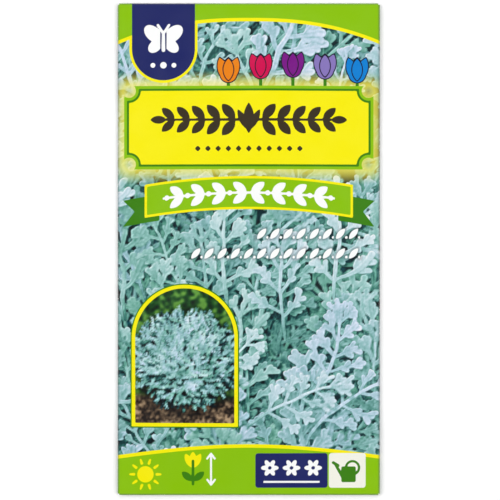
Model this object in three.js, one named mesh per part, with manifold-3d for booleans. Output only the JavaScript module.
// A filled paper seed packet, lying on its back. One cross-shaped sheet of coated paper is folded into an
// envelope: the back panel and a narrow seam flap turn in from the side folds, a flap turns under at each
// end, and three lines of glue hold the layers. A film sachet inside keeps a small heap of fine seeds.
// Millimetres. X runs across the packet, Y from the bottom fold to the top fold, Z up through the front.
// The origin is on the flat of the back panel, under the middle of the front.
import * as THREE from "three";
import { mergeVertices } from "three/addons/utils/BufferGeometryUtils.js";
import Module from "manifold-3d";

const wasm = await Module();
wasm.setup();

// ---- driving dimensions ----
const WIDTH = 80; // across the side folds
const HEIGHT = 150; // across the end folds
const PAPER = 0.12; // coated paper
const GLUE_GAP = 0.06; // between two glued layers
const SLIVER = 0.01; // keeps neighbours from sharing a face
const SIDE_EDGE = 0.8; // thickness of the packet at a side fold
const CROWN = 1.9; // the front panel's rise above its edges, from seeds and trapped air
const SEAM_FLAP = 12; // width of the flap under the back panel's free edge
const BACK_EDGE_INSET = 1.3; // the back panel's free edge stops this far inside the side fold
const BOTTOM_FLAP = 14;
const TOP_FLAP = 20;
const FLAP_TAPER = 0.35; // an end flap narrows by this much on each side for each millimetre of its length
const FLAP_CORNER = 3;
const CORNER_RELIEF = 0.75; // how far the side folds and the end folds stop short of each corner

const SACHET = { x: -4, y: -8, width: 50, height: 70, film: 0.05, seal: 5, dome: 1.9 };
const SEED = { length: 2.3, radius: 0.35, sides: 5 };
const HEAP = { x: -4, y: -14, halfWidth: 7.4, halfHeight: 5.6, floorSeeds: 76, topSeeds: 26 };

// ---- levels that follow from them ----
const END_LIFT = PAPER + GLUE_GAP; // the back panel climbs over an end flap by this much
const LEFT_RADIUS = SIDE_EDGE / 2; // outside of the fold from front panel to back panel
const RIGHT_RADIUS = (SIDE_EDGE - PAPER - GLUE_GAP) / 2; // outside of the fold to the seam flap
const END_RADIUS = (SIDE_EDGE + END_LIFT) / 2; // outside of the fold to an end flap
const END_FOLD_Y = HEIGHT / 2 - END_RADIUS; // where the front panel starts to turn under
const FLAT_END_Y = HEIGHT / 2 - 1.6; // past this the front panel has no crown left
const LAYER_END_Y = HEIGHT / 2 - 1.1; // where the back panel and the seam flap are cut off

const smooth = (t) => t * t * (3 - 2 * t);
const share = (value, from, to) => Math.min(1, Math.max(0, (value - from) / (to - from)));

// Height of the back panel's underside: flat on the surface in the middle, up on the flaps at both ends.
function lift(y) {
  const flapEdge = y > 0 ? HEIGHT / 2 - TOP_FLAP : HEIGHT / 2 - BOTTOM_FLAP;
  return END_LIFT * smooth(share(Math.abs(y), flapEdge - 15, flapEdge - 3));
}

// A low dome over a rectangle, level with its rim all the way round.
function dome(u, v, flatness) {
  const across = Math.max(0, 1 - u * u) ** 1.5;
  const along = Math.max(0, 1 - Math.abs(v) ** flatness) ** 1.5;
  return across * along;
}

const crown = (x, y) => CROWN * dome(x / (WIDTH / 2 - LEFT_RADIUS), y / FLAT_END_Y, 4);

// ---- solids ----
// A closed solid between two grids of points with the same rows and columns.
function slab(upper, lower) {
  const rows = upper.length;
  const columns = upper[0].length;
  const points = [...upper.flat(), ...lower.flat()];
  const at = (layer, row, column) => layer * rows * columns + row * columns + column;
  const triangles = [];
  const quad = (a, b, c, d) => triangles.push(a, b, c, a, c, d);
  for (let r = 0; r < rows - 1; r++) {
    for (let c = 0; c < columns - 1; c++) {
      quad(at(0, r, c), at(0, r, c + 1), at(0, r + 1, c + 1), at(0, r + 1, c));
      quad(at(1, r, c), at(1, r + 1, c), at(1, r + 1, c + 1), at(1, r, c + 1));
    }
    quad(at(0, r, 0), at(0, r + 1, 0), at(1, r + 1, 0), at(1, r, 0));
    quad(at(0, r + 1, columns - 1), at(0, r, columns - 1), at(1, r, columns - 1), at(1, r + 1, columns - 1));
  }
  for (let c = 0; c < columns - 1; c++) {
    quad(at(0, 0, c + 1), at(0, 0, c), at(1, 0, c), at(1, 0, c + 1));
    quad(at(0, rows - 1, c), at(0, rows - 1, c + 1), at(1, rows - 1, c + 1), at(1, rows - 1, c));
  }
  const geometry = new THREE.BufferGeometry().setFromPoints(points);
  geometry.setIndex(triangles);
  return solidOf(geometry);
}

// A manifold-3d solid from a closed geometry, whichever way its faces were wound.
function solidOf(geometry) {
  const bare = geometry.index ? geometry.toNonIndexed() : geometry.clone();
  bare.deleteAttribute("normal");
  bare.deleteAttribute("uv");
  const merged = mergeVertices(bare, 1e-4);
  const index = merged.index.array;
  const position = merged.getAttribute("position");
  const corners = [new THREE.Vector3(), new THREE.Vector3(), new THREE.Vector3()];
  const kept = [];
  let volume = 0;
  for (let i = 0; i < index.length; i += 3) {
    const [a, b, c] = index.slice(i, i + 3);
    if (a === b || b === c || c === a) continue;
    kept.push(a, b, c);
    [a, b, c].forEach((vertex, k) => corners[k].fromBufferAttribute(position, vertex));
    volume += corners[0].dot(corners[1].clone().cross(corners[2]));
  }
  if (volume < 0) kept.reverse();
  return new wasm.Manifold(
    new wasm.Mesh({
      numProp: 3,
      vertProperties: new Float32Array(position.array),
      triVerts: new Uint32Array(kept),
    }),
  );
}

function geometryOf(solid) {
  const mesh = solid.getMesh();
  const geometry = new THREE.BufferGeometry();
  geometry.setAttribute("position", new THREE.BufferAttribute(new Float32Array(mesh.vertProperties), 3));
  geometry.setIndex(new THREE.BufferAttribute(new Uint32Array(mesh.triVerts), 1));
  const flat = geometry.toNonIndexed();
  flat.computeVertexNormals();
  return flat;
}

function block(fromX, toX, fromY, toY, fromZ, toZ) {
  const box = new THREE.BoxGeometry(toX - fromX, toY - fromY, toZ - fromZ);
  box.translate((fromX + toX) / 2, (fromY + toY) / 2, (fromZ + toZ) / 2);
  return solidOf(box);
}

// ---- the sheet: front panel, side folds, back panel and seam flap as one strip ----
// Stations along Y: even steps, with one at each end of the level stretch before an end fold.
function stations(steps) {
  const even = Array.from({ length: steps + 1 }, (_, i) => FLAT_END_Y * ((2 * i) / steps - 1));
  return [-END_FOLD_Y, ...even, END_FOLD_Y];
}

// The middle of the paper in one cross-section, from the back panel's free edge round to the seam flap's.
// Each point has the direction that the printed side faces.
function crossSection(y) {
  const base = lift(y);
  const top = base + SIDE_EDGE - PAPER / 2;
  const left = -WIDTH / 2 + LEFT_RADIUS;
  const right = WIDTH / 2 - RIGHT_RADIUS;
  const path = [{ x: WIDTH / 2 - BACK_EDGE_INSET, z: base + PAPER / 2, nx: 0, nz: -1 }];
  const foldSteps = 6;
  for (let i = 0; i <= foldSteps; i++) {
    const turn = (-Math.PI * i) / foldSteps - Math.PI / 2;
    const [nx, nz] = [Math.cos(turn), Math.sin(turn)];
    const middle = LEFT_RADIUS - PAPER / 2;
    path.push({ x: left + middle * nx, z: base + LEFT_RADIUS + middle * nz, nx, nz });
  }
  const frontSteps = 24;
  for (let i = 1; i < frontSteps; i++) {
    const x = left + ((right - left) * i) / frontSteps;
    const slope = (crown(x + 0.01, y) - crown(x - 0.01, y)) / 0.02;
    const length = Math.hypot(slope, 1);
    path.push({ x, z: top + crown(x, y), nx: -slope / length, nz: 1 / length });
  }
  for (let i = 0; i <= foldSteps; i++) {
    const turn = Math.PI / 2 - (Math.PI * i) / foldSteps;
    const [nx, nz] = [Math.cos(turn), Math.sin(turn)];
    const middle = RIGHT_RADIUS - PAPER / 2;
    path.push({ x: right + middle * nx, z: top + PAPER / 2 - RIGHT_RADIUS + middle * nz, nx, nz });
  }
  path.push({ x: right - SEAM_FLAP, z: base + PAPER + GLUE_GAP + PAPER / 2, nx: 0, nz: -1 });
  return path;
}

function wrappedSheet() {
  const sections = stations(24).map((y) => ({ y, path: crossSection(y) }));
  const side = (sign) =>
    sections.map(({ y, path }) =>
      path.map((p) => new THREE.Vector3(p.x + (sign * p.nx * PAPER) / 2, y, p.z + (sign * p.nz * PAPER) / 2)),
    );
  let strip = slab(side(1), side(-1));
  const underFront = END_LIFT + SIDE_EDGE - PAPER - 2 * SLIVER;
  for (const end of [-1, 1]) {
    const cut = (reach, fromX, toX, toZ) => {
      const [fromY, toY] = [end * reach, end * (HEIGHT / 2 + 1)].sort((a, b) => a - b);
      strip = strip.subtract(block(fromX, toX, fromY, toY, -1, toZ));
    };
    cut(LAYER_END_Y, -WIDTH, WIDTH, underFront);
    cut(HEIGHT / 2 - CORNER_RELIEF, -WIDTH, -WIDTH / 2 + LEFT_RADIUS, 5);
    cut(HEIGHT / 2 - CORNER_RELIEF, WIDTH / 2 - RIGHT_RADIUS, WIDTH, 5);
  }
  return strip;
}

// ---- the sheet: an end flap with its fold ----
// Outline of a flap from above: wide at the fold, narrower at its rounded free edge.
function flapOutline(end, length) {
  const foldHalf = WIDTH / 2 - CORNER_RELIEF;
  const foldY = END_FOLD_Y - 1;
  const tipHalf = foldHalf - FLAP_TAPER * length;
  const tipY = HEIGHT / 2 - length;
  const shape = new THREE.Shape();
  shape.moveTo(-foldHalf, end * (HEIGHT / 2 + 1));
  shape.lineTo(-foldHalf, end * foldY);
  shape.lineTo(-tipHalf - FLAP_TAPER * FLAP_CORNER, end * (tipY + FLAP_CORNER));
  shape.quadraticCurveTo(-tipHalf, end * tipY, -tipHalf + FLAP_CORNER, end * tipY);
  shape.lineTo(tipHalf - FLAP_CORNER, end * tipY);
  shape.quadraticCurveTo(tipHalf, end * tipY, tipHalf + FLAP_TAPER * FLAP_CORNER, end * (tipY + FLAP_CORNER));
  shape.lineTo(foldHalf, end * foldY);
  shape.lineTo(foldHalf, end * (HEIGHT / 2 + 1));
  const prism = new THREE.ExtrudeGeometry(shape, { depth: 6, bevelEnabled: false, curveSegments: 5 });
  prism.translate(0, 0, -2);
  return solidOf(prism);
}

function endFlap(end, length) {
  const foldSteps = 8;
  const middle = END_RADIUS - PAPER / 2;
  const path = [{ y: END_FOLD_Y - 0.5, z: 2 * END_RADIUS - PAPER / 2, ny: 0, nz: 1 }];
  for (let i = 0; i <= foldSteps; i++) {
    const turn = Math.PI / 2 - (Math.PI * i) / foldSteps;
    const [ny, nz] = [Math.cos(turn), Math.sin(turn)];
    path.push({ y: END_FOLD_Y + middle * ny, z: END_RADIUS + middle * nz, ny, nz });
  }
  path.push({ y: HEIGHT / 2 - length - 1, z: PAPER / 2, ny: 0, nz: -1 });
  const side = (sign) =>
    path.map((p) =>
      [-WIDTH / 2, WIDTH / 2].map(
        (x) => new THREE.Vector3(x, end * (p.y + (sign * p.ny * PAPER) / 2), p.z + (sign * p.nz * PAPER) / 2),
      ),
    );
  return slab(side(1), side(-1)).intersect(flapOutline(end, length));
}

function packetSheet() {
  return wrappedSheet().add(endFlap(-1, BOTTOM_FLAP)).add(endFlap(1, TOP_FLAP));
}

// ---- glue lines ----
function sideSeamGlue() {
  const fromX = WIDTH / 2 - RIGHT_RADIUS - SEAM_FLAP + 1;
  const toX = WIDTH / 2 - 2;
  const ends = LAYER_END_Y - 5;
  const along = stations(24).filter((y) => Math.abs(y) < ends);
  const layer = (height) =>
    [-ends, ...along, ends].map((y) => [fromX, toX].map((x) => new THREE.Vector3(x, y, lift(y) + height)));
  return slab(layer(PAPER + GLUE_GAP - SLIVER), layer(PAPER + SLIVER));
}

function endGlue(end, length) {
  const [fromY, toY] = [end * (HEIGHT / 2 - length + 2), end * (LAYER_END_Y - 1.5)].sort((a, b) => a - b);
  const half = WIDTH / 2 - FLAP_TAPER * length - 3.5;
  return block(-half, half, fromY, toY, PAPER + SLIVER, END_LIFT - SLIVER);
}

// ---- the sachet of seeds ----
// One film of the sachet, as a grid over its rectangle: height(u, v) lifts it above its sealed rim.
function film(level, height) {
  const [columns, rows] = [14, 18];
  const layer = (offset) =>
    Array.from({ length: rows + 1 }, (_, r) =>
      Array.from({ length: columns + 1 }, (_, c) => {
        const [u, v] = [(2 * c) / columns - 1, (2 * r) / rows - 1];
        const x = SACHET.x + (u * SACHET.width) / 2;
        const y = SACHET.y + (v * SACHET.height) / 2;
        return new THREE.Vector3(x, y, level + offset + height(x, y));
      }),
    );
  return slab(layer(SACHET.film), layer(0));
}

// The upper film stands over the heap and comes down flat inside the sealed rim.
function sachetDome(x, y) {
  const u = (x - HEAP.x) / (SACHET.width / 2 - SACHET.seal);
  const v = (y - HEAP.y) / (SACHET.height / 2 - SACHET.seal - Math.abs(HEAP.y - SACHET.y));
  return SACHET.dome * dome(Math.min(1, Math.abs(u)), Math.min(1, Math.abs(v)), 2);
}

// A stable stream of numbers from 0 to 1 (mulberry32).
function randomStream(seed) {
  let state = seed;
  return () => {
    state = (state + 0x6d2b79f5) | 0;
    let t = Math.imul(state ^ (state >>> 15), 1 | state);
    t = (t + Math.imul(t ^ (t >>> 7), 61 | t)) ^ t;
    return ((t ^ (t >>> 14)) >>> 0) / 4294967296;
  };
}

// A slender seed, blunt at one end, with its long axis on Y.
function seedShape() {
  const profile = [
    [0, -0.5],
    [0.85, -0.3],
    [1, 0.25],
    [0, 0.5],
  ].map(([radius, along]) => new THREE.Vector2(radius * SEED.radius, along * SEED.length));
  return new THREE.LatheGeometry(profile, SEED.sides);
}

// Seeds lie on the lower film in a spiral that spaces them evenly, with fewer on top of the first layer.
function seedHeap(floorLevel) {
  const random = randomStream(7);
  const shape = seedShape();
  const goldenAngle = Math.PI * (3 - Math.sqrt(5));
  const placed = [];
  const layer = (count, reach, level) => {
    for (let i = 0; i < count; i++) {
      const away = reach * Math.sqrt((i + 0.5) / count);
      const around = i * goldenAngle;
      const turn = new THREE.Euler((random() - 0.5) * 0.3, random() * Math.PI, random() * Math.PI, "ZXY");
      const place = new THREE.Matrix4().makeRotationFromEuler(turn).setPosition(
        HEAP.x + HEAP.halfWidth * away * Math.cos(around) + (random() - 0.5) * 0.5,
        HEAP.y + HEAP.halfHeight * away * Math.sin(around) + (random() - 0.5) * 0.5,
        level,
      );
      placed.push(solidOf(shape.clone().applyMatrix4(place)));
    }
  };
  const bottom = floorLevel + SEED.radius + 0.21; // room for the tilt of a seed's ends
  layer(HEAP.floorSeeds, 1, bottom);
  layer(HEAP.topSeeds, 0.62, bottom + 1.35 * SEED.radius);
  const bodies = wasm.Manifold.union(placed).decompose();
  return bodies.sort((a, b) => b.volume() - a.volume())[0]; // a stray seed that touches no other is left out
}

// ---- the object ----
const coatedPaper = new THREE.MeshStandardMaterial({ color: 0x8cb4a4, roughness: 0.4, metalness: 0 });
const driedGlue = new THREE.MeshStandardMaterial({ color: 0xe8dfc0, roughness: 0.5, metalness: 0 });
const sachetFilm = new THREE.MeshStandardMaterial({ color: 0xdfe2de, roughness: 0.3, metalness: 0 });
const seedCoat = new THREE.MeshStandardMaterial({ color: 0x6b5236, roughness: 0.75, metalness: 0 });

const packet = new THREE.Group();
function addPiece(name, solid, material) {
  const mesh = new THREE.Mesh(geometryOf(solid), material);
  mesh.name = name;
  packet.add(mesh);
}

const lowerFilmLevel = PAPER + 2 * SLIVER;
const upperFilmLevel = lowerFilmLevel + SACHET.film + SLIVER;
addPiece("packet_sheet", packetSheet(), coatedPaper);
addPiece("side_seam_glue", sideSeamGlue(), driedGlue);
addPiece("bottom_flap_glue", endGlue(-1, BOTTOM_FLAP), driedGlue);
addPiece("top_flap_glue", endGlue(1, TOP_FLAP), driedGlue);
addPiece("sachet_lower_film", film(lowerFilmLevel, () => 0), sachetFilm);
addPiece("sachet_upper_film", film(upperFilmLevel, sachetDome), sachetFilm);
addPiece("seed_heap", seedHeap(lowerFilmLevel + SACHET.film), seedCoat);

export default packet;
